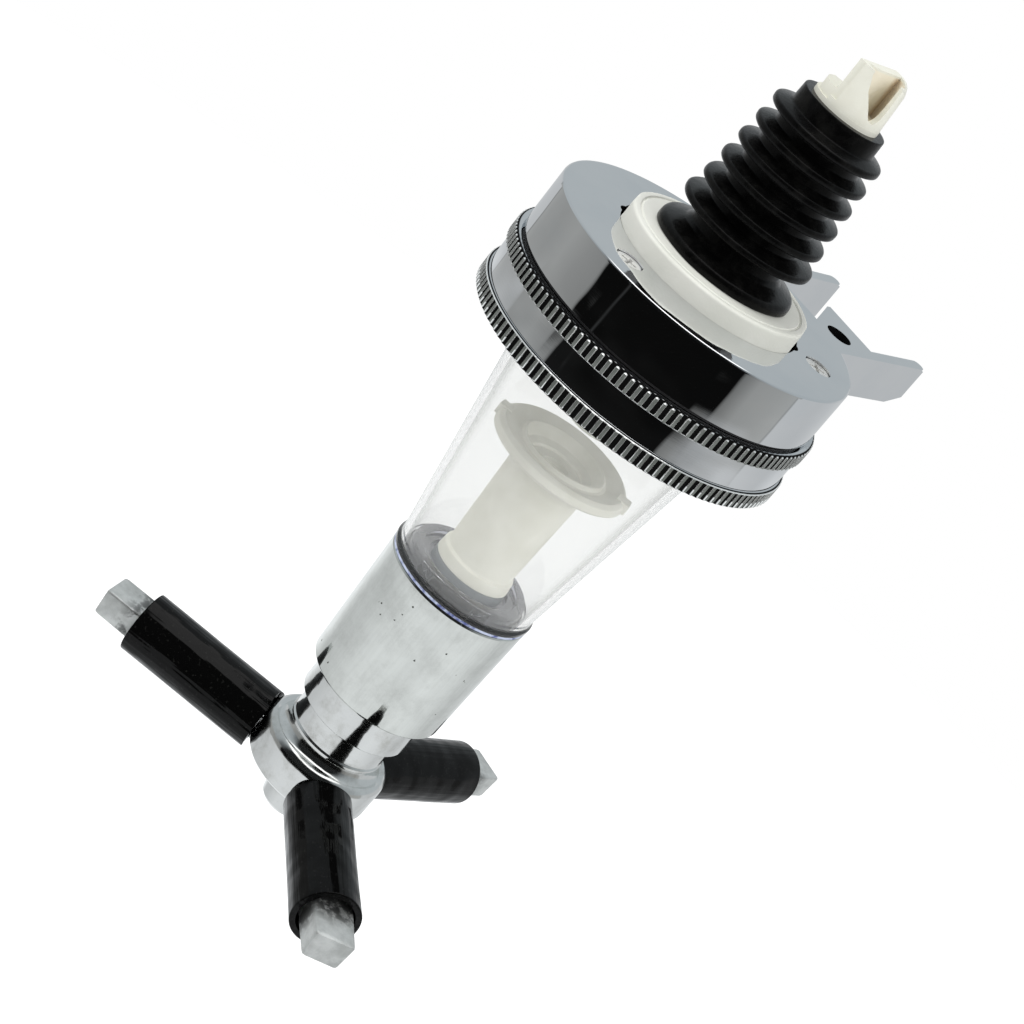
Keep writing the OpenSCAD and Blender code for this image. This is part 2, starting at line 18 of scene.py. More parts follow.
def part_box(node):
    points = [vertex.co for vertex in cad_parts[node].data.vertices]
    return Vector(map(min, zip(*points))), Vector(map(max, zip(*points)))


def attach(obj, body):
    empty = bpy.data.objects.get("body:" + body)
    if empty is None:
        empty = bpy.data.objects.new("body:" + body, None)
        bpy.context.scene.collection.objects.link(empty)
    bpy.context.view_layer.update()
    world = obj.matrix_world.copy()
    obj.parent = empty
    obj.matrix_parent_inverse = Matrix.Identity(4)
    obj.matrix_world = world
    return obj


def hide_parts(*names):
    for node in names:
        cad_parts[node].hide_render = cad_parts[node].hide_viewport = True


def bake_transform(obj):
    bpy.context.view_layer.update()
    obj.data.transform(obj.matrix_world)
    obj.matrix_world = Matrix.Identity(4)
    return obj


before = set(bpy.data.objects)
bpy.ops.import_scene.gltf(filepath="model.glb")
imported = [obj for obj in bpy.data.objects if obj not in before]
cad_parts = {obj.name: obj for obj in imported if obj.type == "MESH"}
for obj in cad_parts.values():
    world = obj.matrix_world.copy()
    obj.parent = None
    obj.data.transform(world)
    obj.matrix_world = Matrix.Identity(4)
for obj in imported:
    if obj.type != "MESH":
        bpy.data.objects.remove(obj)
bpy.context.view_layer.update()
MM = 0.001


def placed(name, data):
    """A new object in the scene, for a mesh, a lamp or a camera."""
    thing = bpy.data.objects.new(name, data)
    bpy.context.scene.collection.objects.link(thing)
    return thing


# %% [markdown]
# ## Camera
#
# The object hangs across the picture, so the camera is rolled about its own line of sight.
# The place, the aim, the roll and the lens were solved from the ellipses that the round
# pieces make in the photograph. A rolled camera is used rather than a tilted object, because
# every piece has to stay where the CAD model says.

# %% Camera
CAMERA_PLACE = Vector((0.21815, -0.37784, 0.12796))
CAMERA_AIM = Vector((-0.00078, -0.00045, -0.05685))
CAMERA_ROLL = math.radians(39.19)
FOCAL_LENGTH = 92.85
SENSOR_WIDTH = 36

lens = bpy.data.cameras.new("studio_camera")
lens.lens = FOCAL_LENGTH
lens.sensor_width = SENSOR_WIDTH
lens.clip_start = 0.01
camera = placed("studio_camera", lens)
gaze = (CAMERA_AIM - CAMERA_PLACE).to_track_quat("-Z", "Y").to_matrix().to_4x4()
camera.matrix_world = (Matrix.Translation(CAMERA_PLACE) @ gaze
                       @ Matrix.Rotation(CAMERA_ROLL, 4, "Z"))
bpy.context.scene.camera = camera
bpy.context.scene.view_settings.view_transform = "Standard"
print("camera at", tuple(round(c, 3) for c in camera.location))

# %% [markdown]
# ## Shader maths in Python
#
# A finish is a tree of nodes, and a tree of thirty Math nodes is hard to read. Here one small
# class wraps a socket, so that `1 - mask` or `height * 0.2 + grain` adds the Math nodes by
# itself. Colours and vectors go through Mix and Vector Math nodes instead, because a Math
# node would turn a colour grey.

# %% A socket that can be added and multiplied
class Wire:
    """An output socket of a node tree, for use in Python expressions."""

    def __init__(self, tree, socket):
        self.tree = tree
        self.socket = socket

    def maths(self, operation, *values):
        """A Math node on the values."""
        return self.tree.add("Math", {"operation": operation}, dict(enumerate(values)))

    def __add__(self, other): return self.maths("ADD", self, other)
    def __radd__(self, other): return self.maths("ADD", other, self)
    def __sub__(self, other): return self.maths("SUBTRACT", self, other)
    def __rsub__(self, other): return self.maths("SUBTRACT", other, self)
    def __mul__(self, other): return self.maths("MULTIPLY", self, other)
    def __rmul__(self, other): return self.maths("MULTIPLY", other, self)
    def __truediv__(self, other): return self.maths("DIVIDE", self, other)
    def __pow__(self, other): return self.maths("POWER", self, other)

    def part(self, name):
        """Another output of the node that this wire comes from."""
        return Wire(self.tree, self.socket.node.outputs[name])

    def both(self, other): return self.maths("MINIMUM", self, other)
    def either(self, other): return self.maths("MAXIMUM", self, other)

    def ramp(self, low, high, start=0.0, end=1.0):
        """Runs smoothly from start, where the value is low, to end, where it is high."""
        return self.tree.add("MapRange", {"interpolation_type": "SMOOTHSTEP"},
                             {"Value": self, "From Min": low, "From Max": high,
                              "To Min": start, "To Max": end})


class Tree:
    """A node tree that is built by calls instead of by hand."""

    def __init__(self, tree):
        self.tree = tree
        tree.nodes.clear()

    def add(self, kind, settings=None, sockets=None, out=0):
        """Adds one node: its settings first, then the values or links of its sockets."""
        node = self.tree.nodes.new("ShaderNode" + kind)
        for name, value in (settings or {}).items():
            if name == "stops":
                for stop, (place, colour) in enumerate(value):
                    if stop > 1:
                        node.color_ramp.elements.new(place)
                    node.color_ramp.elements[stop].position = place
                    node.color_ramp.elements[stop].color = (*colour, 1)
            else:
                setattr(node, name, value)
        for name, value in (sockets or {}).items():
            if isinstance(value, Wire):
                self.tree.links.new(value.socket, node.inputs[name])
            elif isinstance(value, tuple) and len(value) == 3 \
                    and len(node.inputs[name].default_value) == 4:
                node.inputs[name].default_value = (*value, 1)
            else:
                node.inputs[name].default_value = value
        return Wire(self, node.outputs[out]) if node.outputs else None

    def blend(self, factor, one, other):
        """A colour between two colours."""
        return self.add("Mix", {"data_type": "RGBA"}, {0: factor, 6: one, 7: other}, out=2)

    def mix(self, factor, one, other):
        """A surface between two surfaces."""
        return self.add("MixShader", None, {0: factor, 1: one, 2: other})

    def close(self, shader, kind="Material"):
        """Ends the tree in a material's or a world's output."""
        self.add("Output" + kind, None, {"Surface": shader})

    def stretched(self, point, factors):
        """A point with each of its numbers multiplied."""
        return self.add("VectorMath", {"operation": "MULTIPLY"}, {0: point, 1: factors})

    def place(self):
        """The point on the surface in metres, in the frame of the CAD model."""
        return self.add("TexCoord", out="Object")

    def axes(self, point):
        """The three numbers of a vector."""
        split = self.add("SeparateXYZ", None, {0: point})
        return split.part("X"), split.part("Y"), split.part("Z")

    def away(self, x, y):
        """How far a point is from an upright line, from its two distances."""
        return (x * x + y * y) ** 0.5

    def bearing(self, x, y):
        """The direction of a point round an upright line, in radians."""
        return self.add("Math", {"operation": "ARCTAN2"}, {0: y, 1: x})

    def grain(self, point, size, detail=2.0, rough=0.5):
        """Noise from 0 to 1 whose spots are about size metres across."""
        return self.add("TexNoise", None, {"Vector": point, "Scale": 1 / size,
                                           "Detail": detail, "Roughness": rough})

    def relief(self, height, depth):
        """Turns a height from 0 to 1 into a bent normal, depth metres deep."""
        return self.add("Bump", None, {"Height": height, "Distance": depth, "Strength": 1.0})


print("shader helpers ready")

# %% [markdown]
# ## Table, backdrop and studio
#
# The photograph is a cut-out on plain white. Its chrome tells more: behind the camera the
# studio is nearly black, a pale wall stands all round the rest, and under it a white table
# spreads out. The camera sees a plain white table and backdrop. The metal sees a world whose
# colour goes by direction, read off the stripes that run down the head and the body.

# %% Table
TABLE_HEIGHT = -0.30
TABLE_REACH = 0.74
TABLE_SIDES = 96

grid = bmesh.new()
bmesh.ops.create_circle(grid, cap_ends=True, radius=TABLE_REACH, segments=TABLE_SIDES)
table_mesh = bpy.data.meshes.new("table")
grid.to_mesh(table_mesh)
grid.free()
table = placed("table", table_mesh)
table.location.z = TABLE_HEIGHT
table.visible_glossy = False

paint = bpy.data.materials.new("table_paint")
paint.use_nodes = True
t = Tree(paint.node_tree)
matt = t.add("BsdfDiffuse", None, {"Color": (0.72, 0.72, 0.72)})
glow = t.add("Emission", None, {"Color": (1.0, 1.0, 1.0), "Strength": 0.55})
lit = t.add("AddShader", None, {0: matt, 1: glow})
white = t.add("Emission", None, {"Color": (1.0, 1.0, 1.0), "Strength": 1.0})
beyond = t.add("LightPath").part("Is Transmission Ray")
t.close(t.mix(beyond, lit, white))
table_mesh.materials.append(paint)
print("table", 2 * TABLE_REACH, "m across at", TABLE_HEIGHT, "m")

# %% Studio walls as the metal sees them
CAMERA_SIDE = math.atan2(CAMERA_PLACE.y, CAMERA_PLACE.x)
# Brightness by the bearing from the camera's side, in degrees
WALL = [(-180, 0.62), (-150, 0.58), (-140, 0.58), (-139.4, 0.20), (-138.6, 0.40), (-130, 0.365),
        (-110, 0.34), (-90, 0.37), (-75, 0.30), (-56.5, 0.26), (-55.5, 0.004), (-36.6, 0.004),
        (-36, 0.5), (-35.4, 0.004), (57, 0.004), (58, 0.18), (70, 0.345), (90, 0.39),
        (103, 0.43), (103.8, 0.20), (104.6, 0.60), (130, 0.56), (150, 0.60), (180, 0.62)]
WALL_FOOT = [(-180, 0.80), (-150, 1.0), (-135, 0.62), (-110, 0.57), (-96, 0.50), (-95, 0.31),
             (-90, 0.31), (-78, 0.36), (-70, 0.40), (-55, 0.30), (-48, 0.27), (-47, 0.01),
             (43, 0.006), (44, 0.20), (50, 0.26), (62, 0.45), (70, 0.51), (90, 0.65),
             (110, 0.64), (130, 0.60), (150, 0.85), (180, 0.80)]
TABLE_TOP = [(-180, 0.9), (-150, 1.0), (-120, 0.61), (-90, 0.61), (-60, 0.71), (-30, 0.80),
             (0, 0.80), (30, 0.76), (60, 0.84), (90, 0.76), (120, 0.61), (150, 0.67), (180, 0.9)]
SKY = [(-180, 0.50), (-110, 0.50), (-75, 0.36), (-57, 0.10), (-50, 0.015), (50, 0.015),
       (57, 0.10), (75, 0.36), (110, 0.50), (180, 0.50)]
DIM, DIM_TINT, BRIGHT_TINT = 0.45, (0.98, 1.0, 0.985), (0.97, 1.0, 1.02)
SKY_TINT = (0.93, 1.01, 1.05)
CEILING = (1.6, 1.6, 1.6)
SOFT_LIGHT = (0.62, 0.62, 0.62)


def stripes(t, turn, levels, tint=None):
    """A ramp round the studio: dim parts a little green, bright parts a little blue."""
    stops = []
    for bearing, level in levels:
        cast = tint or (DIM_TINT if level < DIM else BRIGHT_TINT)
        stops.append(((bearing + 180) / 360, tuple(level * c for c in cast)))
    return t.add("ValToRGB", {"stops": stops}, {"Fac": turn})


studio = bpy.data.worlds.new("studio")
bpy.context.scene.world = studio
studio.use_nodes = True
t = Tree(studio.node_tree)
ray = t.add("LightPath")
x, y, z = t.axes(t.add("TexCoord", out="Generated"))
toward = x * math.cos(CAMERA_SIDE) + y * math.sin(CAMERA_SIDE)
across = y * math.cos(CAMERA_SIDE) - x * math.sin(CAMERA_SIDE)
turn = t.bearing(toward, across) / (2 * math.pi) + 0.5
wall = t.blend(z.ramp(-0.350, -0.309), stripes(t, turn, WALL_FOOT), stripes(t, turn, WALL))
lower = t.blend(z.ramp(-0.42, -0.375), stripes(t, turn, TABLE_TOP), wall)
upper = t.blend(z.ramp(0.04, 0.22), lower, stripes(t, turn, SKY, SKY_TINT))
mirrored = t.blend(z.ramp(0.86, 0.92), upper, CEILING)
plain = (ray.part("Is Camera Ray") + ray.part("Is Transmission Ray")).both(1.0)
soft = t.blend(ray.part("Is Glossy Ray"), SOFT_LIGHT, mirrored)
colour = t.blend(plain, soft, (1.0, 1.0, 1.0))
t.close(t.add("Background", None, {"Color": colour, "Strength": 1.0}), "World")
print("camera side of the studio at", round(math.degrees(CAMERA_SIDE)), "degrees")

# %% [markdown]
# ## Lamps
#
# Two wide soft boxes light the pale plastics and the rubber from the upper left and from the
# right, as shadows on the bobbin and the ring show. They are hidden from mirror reflections,
# because the chrome already reflects the studio above.

# %% Lamps
def soft_box(name, place, aim, size, watts):
    """A square soft box that faces a point."""
    lamp = bpy.data.lights.new(name, "AREA")
    lamp.shape = "SQUARE"
    lamp.size = size
    lamp.energy = watts
    holder = placed(name, lamp)
    holder.location = place
    holder.rotation_euler = (Vector(aim) - Vector(place)).to_track_quat("-Z", "Y").to_euler()
    holder.visible_glossy = False
    print("lamp", name, watts, "W")


soft_box("key_lamp", (-0.45, -0.35, 0.75), (0, 0, -0.03), 0.5, 5.0)
soft_box("fill_lamp", (0.75, -0.10, 0.40), (0, 0, -0.05), 0.6, 3.0)

# %% [markdown]
# ## Finishes
#
# Each finish is one material. All of them take the point in metres as their texture space,
# so a scratch or a pit has its real size, and the pattern stays where it is on the piece.

# %% A place to mix a finish
def finish(name):
    """A new material and the tree to build it in."""
    material = bpy.data.materials.new(name)
    material.use_nodes = True
    return material, Tree(material.node_tree)


def surface(t, **sockets):
    """Closes a finish with one Principled shader. Names use _ for a space."""
    named = {name.replace("_", " "): value for name, value in sockets.items()}
    t.close(t.add("BsdfPrincipled", None, named))


# %% [markdown]
# ### Polished chrome
#
# The head and the nut are zinc castings, polished and plated. Plating copies the casting
# under it, so the mirror is not perfect: it waves a little over a centimetre, and wiping
# leaves hairlines that run round. Roughness and a very shallow relief give both. The bracket
# hole and the grooves of the knurling are painted black as shade, the flanks of the teeth get
# a painted highlight, and the tips of the teeth are rubbed dull.

# %% Polished chrome
HOLE_X, HOLE_Y, HOLE_RADIUS = 0.0093, 0.0329, 0.0027

chrome, t = finish("polished_chrome")
place = t.place()
waves = t.grain(place, 0.012, 1.0)
ripple = t.grain(place, 0.0035, 0.0)
x, y, z = t.axes(place)
out = t.away(x, y)
round_way = t.add("CombineXYZ", None, {0: t.bearing(x, y) * 0.004, 1: z, 2: out})
hairlines = t.grain(round_way, 0.00025, 3.0)
smudge = t.grain(place, 0.02, 4.0, 0.6)
plated = t.blend(smudge.ramp(0.35, 0.75), (0.80, 0.81, 0.82), (0.74, 0.76, 0.78))
aside = t.away(x - HOLE_X, y - HOLE_Y)
bore = (aside.ramp(HOLE_RADIUS + 0.00002, HOLE_RADIUS - 0.00002)
        * z.ramp(-0.00008, -0.0003))
# From the axis out: the foot of the teeth, the grooves, the flanks and the tops
teeth = out.ramp(0.03170, 0.03185) * z.ramp(-0.0112, -0.0116)
# Painted shade: the bracket hole and the grooves of the teeth turn black and matt.
shade_mask = bore.either(teeth * out.ramp(0.03214, 0.03203))
# Painted highlight: the flanks of the teeth get a paler, less metallic colour, as bright lines.
lit_flanks = teeth * out.ramp(0.03208, 0.03216) * out.ramp(0.03228, 0.03226)
tops = teeth * out.ramp(0.03227, 0.03229)
# The colour: a painted highlight on the flanks, dull grey on the rubbed tops.
zoned = t.blend(tops, t.blend(lit_flanks * 0.8, plated, (0.95, 0.97, 0.95)), (0.19, 0.205, 0.19))
plating = t.add("BsdfPrincipled", None, {
    "Base Color": zoned, "Metallic": 1.0 - tops * 0.5 - lit_flanks * 0.35,
    "Roughness": 0.008 + smudge.ramp(0.45, 0.8) * 0.02 + hairlines * 0.012 + tops * 0.25,
    "Normal": t.relief(waves + ripple * 0.03 + hairlines * 0.004, 0.00016)})
# A black, matt surface, painted as shade in the hole and the grooves.
shade_black = t.add("BsdfPrincipled", None, {"Base Color": (0.004, 0.004, 0.004), "Roughness": 0.7,
                                      "Specular IOR Level": 0.05})
t.close(t.mix(shade_mask, plating, shade_black))
print("mixed", chrome.name)

# %% [markdown]
# ### Plated castings
#
# The valve body, the hub and the bars are plated too, but over a rougher casting. The body
# has small pits. The hub is shiny, and the bare bar ends are grey and scratched, because
# they are the parts that get knocked.

# %% Pitted chrome of the valve body
body_chrome, t = finish("pitted_chrome")
place = t.place()
x, y, z = t.axes(place)
drawn = t.add("CombineXYZ", None, {0: t.bearing(x, y) * 0.0145, 1: z * 0.05, 2: 0.0})
streaks = t.grain(drawn, 0.0006, 3.0)
waves = t.grain(place, 0.009, 1.0)
cells = t.add("TexVoronoi", {"feature": "F1"}, {"Vector": place, "Scale": 1 / 0.0023})
pits = cells.ramp(0.05, 0.11, 1.0, 0.0) * t.grain(place, 0.005, 0.0).ramp(0.56, 0.62)
stains = t.grain(place, 0.007, 6.0, 0.68)
haze = stains.ramp(0.35, 0.75)
surface(t, Base_Color=t.blend(pits.either(haze * 0.24 + streaks.ramp(0.3, 0.8) * 0.08),
                              (0.83, 0.85, 0.82), (0.25, 0.25, 0.23)),
        Metallic=1.0, Roughness=0.03 + haze * 0.09 + streaks * 0.02 + pits * 0.3,
        Normal=t.relief(streaks * 0.022 + waves * 0.8 - pits * 0.5, 0.00010))
print("mixed", body_chrome.name)

# %% Bright chrome of the hub, worn zinc of the bars
hub_metal, t = finish("hub_chrome")
place = t.place()
x, y, z = t.axes(place)
out = t.away(x, y)
zoned = out.ramp(0.0132, 0.0142) * z.ramp(-0.1130, -0.1150)
waves = t.grain(place, 0.005, 2.0)
stains = t.grain(place, 0.005, 5.0, 0.65)
scratches = t.grain(t.stretched(place, (1.0, 1.0, 7.0)), 0.0012, 6.0, 0.7)
# Near-black patches on the bars, strongest inside the sleeves and fading out by 48 mm from the
# axis.
dark_patches = out.ramp(0.0480, 0.0430) * t.grain(place, 0.004, 4.0, 0.7).ramp(0.42, 0.56)
bright = t.blend(stains.ramp(0.45, 0.8), (0.80, 0.81, 0.80), (0.58, 0.58, 0.55))
dull = t.blend(stains.ramp(0.3, 0.7), (0.72, 0.74, 0.73), (0.50, 0.52, 0.51))
hub_colour = t.blend(zoned * dark_patches * 0.85, t.blend(zoned, bright, dull), (0.03, 0.03, 0.03))
surface(t, Base_Color=hub_colour, Metallic=1.0 - zoned * 0.3,
        Roughness=0.08 + stains.ramp(0.35, 0.8) * 0.10 + zoned * (0.20 + scratches * 0.25),
        Normal=t.relief(waves + scratches * zoned * 0.5, 0.00015))

# %% Bright steel of the screws
screw_steel, t = finish("screw_steel")
place = t.place()
marks = t.grain(place, 0.0005, 3.0)
surface(t, Base_Color=t.blend(marks, (0.92, 0.92, 0.90), (0.80, 0.80, 0.78)), Metallic=0.45,
        Roughness=0.25 + marks * 0.15, Normal=t.relief(marks, 0.00002))
print("mixed", hub_metal.name, screw_steel.name)

# %% [markdown]
# ### Rubber and vinyl
#
# The stopper is matt natural rubber: nearly black, with a grey bloom where the fins flex and
# rub. The sleeves are soft vinyl tube, which is much shinier and shows long streaks.

# %% Rubber of the stopper
rubber, t = finish("stopper_rubber")
place = t.place()
bloom = t.grain(place, 0.003, 5.0, 0.7)
fine = t.grain(place, 0.0004, 3.0)
black = t.blend(bloom.ramp(0.4, 0.8), (0.002, 0.002, 0.002), (0.008, 0.008, 0.0075))
surface(t, Base_Color=black,
        Roughness=0.15 + bloom * 0.14, Specular_IOR_Level=0.11,
        Normal=t.relief(fine * 0.3 + bloom, 0.00008))

# %% Vinyl of the sleeves
BAR_SLOPE = 0.035

vinyl, t = finish("sleeve_vinyl")
place = t.place()
x, y, z = t.axes(place)
third = math.radians(120)
# Turned so that from_bar is 0 along the middle line of each bar
bearing = t.bearing(x, y) + math.radians(333.4)
from_bar = t.add("Math", {"operation": "MODULO"}, {0: bearing + third, 1: third}) - third / 2
out = t.away(x, y)
across = out * t.add("Math", {"operation": "SINE"}, {0: from_bar})
along = t.add("CombineXYZ", None, {0: across, 1: z + out * BAR_SLOPE, 2: out * 0.05})
ridges = t.grain(along, 0.0016, 2.0)
dents = t.grain(place, 0.006, 1.0)
specks = t.grain(place, 0.0006, 2.0)
black = t.blend(specks.ramp(0.6, 0.75), (0.002, 0.002, 0.002), (0.010, 0.010, 0.0095))
surface(t, Base_Color=black,
        Roughness=0.04 + ridges * 0.10, Specular_IOR_Level=0.16,
        Normal=t.relief(ridges * 0.6 + dents * 1.3 + specks * 0.01, 0.0004))
print("mixed", rubber.name, vinyl.name)

# %% [markdown]
# ### White mouldings
#
# The ring and the inlet are off-white, a little green-yellow. The bobbin in the chamber is
# duller and warmer. Moulded plastic is never one colour: it has flow marks and a fine skin.
# The ring's finish is painted black as shade below the head's top face, in the two gaps beside its
# keys.
# The inlet's mouth is painted darker and browner inside as shade, most at one corner. The bobbin
# glows a little, for light that a path tracer loses in the chamber's wall.

# %% Off-white of the ring and the inlet
ivory, t = finish("ring_plastic")
place = t.place()
flow = t.grain(place, 0.011, 3.0, 0.6)
skin = t.grain(place, 0.0005, 2.0)
x, y, z = t.axes(place)
# Painted shade: black on the ring's wall below the head's top face, in the gaps beside the keys.
gap_shade = t.away(x, y).ramp(0.0176, 0.0178) * z.ramp(0.00002, -0.0001)
moulded = t.blend(flow.ramp(0.3, 0.75), (0.80, 0.805, 0.745), (0.74, 0.75, 0.685))
surface(t, Base_Color=t.blend(gap_shade, moulded, (0.004, 0.004, 0.004)),
        Roughness=0.38 + flow * 0.12, Specular_IOR_Level=0.4,
        Normal=t.relief(skin * 0.4 + flow, 0.00006))

cream, t = finish("inlet_plastic")
place = t.place()
flow = t.grain(place, 0.004, 3.0, 0.6)
skin = t.grain(place, 0.0004, 2.0)
x, y, z = t.axes(place)
# Painted shade: inside the mouth the colour turns darker and browner, most near one corner.
inside = t.away(x, y).ramp(0.00555, 0.00500) * z.ramp(0.0375, 0.0385)
inside = inside * z.ramp(0.0461, 0.0457) * x.ramp(0.0005, 0.0009)
from_corner = t.away(x - 0.00133, y - 0.00502)
mouth_shade = t.blend(from_corner.ramp(0.0003, 0.0022), (0.58, 0.46, 0.32), (0.84, 0.79, 0.66))
moulded = t.blend(flow.ramp(0.3, 0.75), (0.80, 0.80, 0.71), (0.76, 0.755, 0.66))
surface(t, Base_Color=t.blend(inside, moulded, mouth_shade), Roughness=0.40 + flow * 0.12,
        Specular_IOR_Level=0.35, Normal=t.relief(skin * 0.4 + flow, 0.00006))

# %% Grey-white of the bobbin
bobbin_white, t = finish("bobbin_plastic")
place = t.place()
flow = t.grain(place, 0.008, 3.0, 0.6)
skin = t.grain(place, 0.0006, 2.0)
body_colour = t.blend(flow.ramp(0.3, 0.75), (0.505, 0.50, 0.455), (0.445, 0.44, 0.39))
surface(t, Base_Color=body_colour, Emission_Color=body_colour, Emission_Strength=0.36,
        Roughness=0.5 + flow * 0.1, Specular_IOR_Level=0.35,
        Normal=t.relief(skin * 0.4 + flow, 0.00006))
print("mixed", ivory.name, cream.name, bobbin_white.name)

# %% [markdown]
# ### Clear plastics
#
# The chamber is clear acrylic. A path tracer would leave a dark shadow inside it, because
# light that is bent by a wall rarely finds a lamp, so shadow rays go straight through.

# %% Clear acrylic
ACRYLIC_INDEX = 1.49
DUST_WHITE = (0.74, 0.76, 0.75)


def clear(name, tint, roughness, dust, veil, ripple=0.0, edge=0.0):
    """A clear plastic: specks of dust, an even veil, and haze where the view grazes it."""
    material, t = finish(name)
    place = t.place()
    specks = t.grain(place, 0.0009, 3.0, 0.6)
    film = t.grain(place, 0.01, 4.0, 0.6)
    glass = t.add("BsdfPrincipled", None, {
        "Base Color": tint, "Transmission Weight": 1.0, "IOR": ACRYLIC_INDEX,
        "Roughness": roughness + film.ramp(0.5, 0.9) * 0.03,
        "Normal": t.relief(film, ripple)})
    bare = t.add("BsdfTransparent", None, {"Color": tint})
    dust_film = t.add("BsdfDiffuse", None, {"Color": DUST_WHITE})
    slant = t.add("LayerWeight", None, {"Blend": 0.5}, out="Facing").ramp(0.55, 1.0) * edge
    haze = specks.ramp(0.55, 0.75) * dust + slant + veil
    shadow = t.add("LightPath", out="Is Shadow Ray")
    t.close(t.mix(shadow, t.mix(haze, glass, dust_film), bare))
    print("mixed", name)
    return material


acrylic = clear("chamber_acrylic", (0.975, 0.981, 0.976), 0.0, 0.02, veil=0.03, edge=0.6)
plug_plastic = clear("plug_plastic", (0.55, 0.55, 0.60), 0.04, 0.10, veil=0.02, ripple=0.00012)

seal_plastic, t = finish("joint_plastic")
place = t.place()
x, y, z = t.axes(place)
rim = t.away(x, y).ramp(0.01480, 0.01490) * z.ramp(-0.07352, -0.07344)
stains = t.grain(place, 0.0025, 4.0, 0.7)
blue = t.blend(stains.ramp(0.42, 0.62), (0.50, 0.56, 0.72), (0.08, 0.10, 0.28))
surface(t, Base_Color=t.blend(rim, (0.004, 0.004, 0.006), blue),
        Roughness=0.12 + stains * 0.2, Normal=t.relief(stains, 0.00006))
print("mixed", seal_plastic.name)

# %% [markdown]
# ### Hidden metal and seals
#
# These show only through the chamber or not at all, so each is one simple finish.

# %% Steel and seals
steel, t = finish("spring_steel")
place = t.place()
marks = t.grain(place, 0.0008, 4.0)
surface(t, Base_Color=t.blend(marks, (0.55, 0.55, 0.56), (0.42, 0.42, 0.43)), Metallic=1.0,
        Roughness=0.28 + marks * 0.2, Normal=t.relief(marks, 0.00003))

seal_black, t = finish("seal_rubber")
place = t.place()
marks = t.grain(place, 0.0012, 4.0)
surface(t, Base_Color=t.blend(marks, (0.02, 0.02, 0.022), (0.05, 0.05, 0.052)),
        Roughness=0.5 + marks * 0.2, Normal=t.relief(marks, 0.00004))

collar_grey, t = finish("collar_grey")
place = t.place()
marks = t.grain(place, 0.0015, 3.0)
surface(t, Base_Color=t.blend(marks, (0.20, 0.215, 0.23), (0.26, 0.275, 0.285)),
        Roughness=0.30 + marks * 0.2, Normal=t.relief(marks, 0.00003))
print("mixed", steel.name, seal_black.name, collar_grey.name)

# %% [markdown]
# ## Making pieces
#
# Nearly every piece of this dispenser was turned or moulded in a turned die, so its shape is
# one outline spun round the axis. The helpers below take such an outline in millimetres,
# round its corners, and spin it with enough steps that mirror plating shows no facets. The
# CAD model keeps plain corners. The rounded edges here catch the light as real ones do. What
# was not turned, such as a bar, is drawn as rows of points and closed with a face at each end.

# %% Outlines with rounded corners, and turned pieces
EDGE_ANGLE = 35


def soften(corners, steps=5):
    """Rounds a closed outline. A corner is (radius, height) or (radius, height, rounding)."""
    path = []
    neighbours = zip(corners[-1:] + corners[:-1], corners, corners[1:] + corners[:1])
    for before, corner, after in neighbours:
        here = Vector(corner[:2])
        back = Vector(before[:2]) - here
        ahead = Vector(after[:2]) - here
        if len(corner) < 3 or not corner[2]:
            path.append(here)
            continue
        reach = min(corner[2] / math.tan(back.angle(ahead) / 2),
                    0.48 * back.length, 0.48 * ahead.length)
        start = here + back.normalized() * reach
        end = here + ahead.normalized() * reach
        for step in range(steps + 1):
            u = step / steps
            path.append(start * (1 - u) ** 2 + here * 2 * u * (1 - u) + end * u ** 2)
    return path


def bend(centre, radius, first, last, steps):
    """Points of an arc between two angles in degrees, as corners for an outline."""
    angles = [math.radians(first + (last - first) * i / steps) for i in range(steps + 1)]
    return [(centre[0] + radius * math.cos(a), centre[1] + radius * math.sin(a))
            for a in angles]


def dressed_mesh(name, build, sharp):
    """An object of a built mesh, smooth but for edges sharper than the angle."""
    mesh = bpy.data.meshes.new(name)
    build.to_mesh(mesh)
    build.free()
    mesh.shade_smooth()
    mesh.set_sharp_from_angle(angle=math.radians(sharp))
    return placed(name, mesh)


def mesh_piece(name, points, faces, sharp=38):
    """A new object from points in millimetres, with all its faces turned outwards."""
    draft = bpy.data.meshes.new("draft")
    draft.from_pydata([Vector(p) * MM for p in points], [], faces)
    build = bmesh.new()
    build.from_mesh(draft)
    bpy.data.meshes.remove(draft)
    bmesh.ops.recalc_face_normals(build, faces=build.faces)
    return dressed_mesh(name, build, sharp)


def woven(rows):
    """Faces between rows of points, closed both round each row and from last row to first."""
    count, wide = len(rows), len(rows[0])
    points = [point for row in rows for point in row]
    faces = [(i * wide + j, i * wide + (j + 1) % wide,
              (i + 1) % count * wide + (j + 1) % wide, (i + 1) % count * wide + j)
             for i in range(count) for j in range(wide)]
    return points, faces


def capped(rows):
    """Faces between rows of points, open from last row to first, with a face on each end."""
    points, faces = woven(rows)
    wide = len(rows[0])
    ends = [tuple(range(wide)), tuple(range(len(points) - wide, len(points)))]
    return points, faces[:-wide] + ends


def lathe(name, corners, steps=192, sharp=38, shape=None):
    """Spins an outline round the axis. shape(radius, height, bearing) may alter a radius."""
    rows = []
    for radius, height in soften(corners):
        row = []
        for j in range(steps):
            bearing = 2 * math.pi * j / steps
            r = shape(radius, height, bearing) if shape else radius
            row.append((r * math.cos(bearing), r * math.sin(bearing), height))
        rows.append(row)
    return mesh_piece(name, *woven(rows), sharp)


def stands_for(piece, node, body, material):
    """The piece takes a CAD node's place and finish, and moves with its body."""
    piece.data.materials.append(material)
    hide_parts(node)
    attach(piece, body)
    print(piece.name, "stands for", node, "with", len(piece.data.polygons), "faces")
    return piece


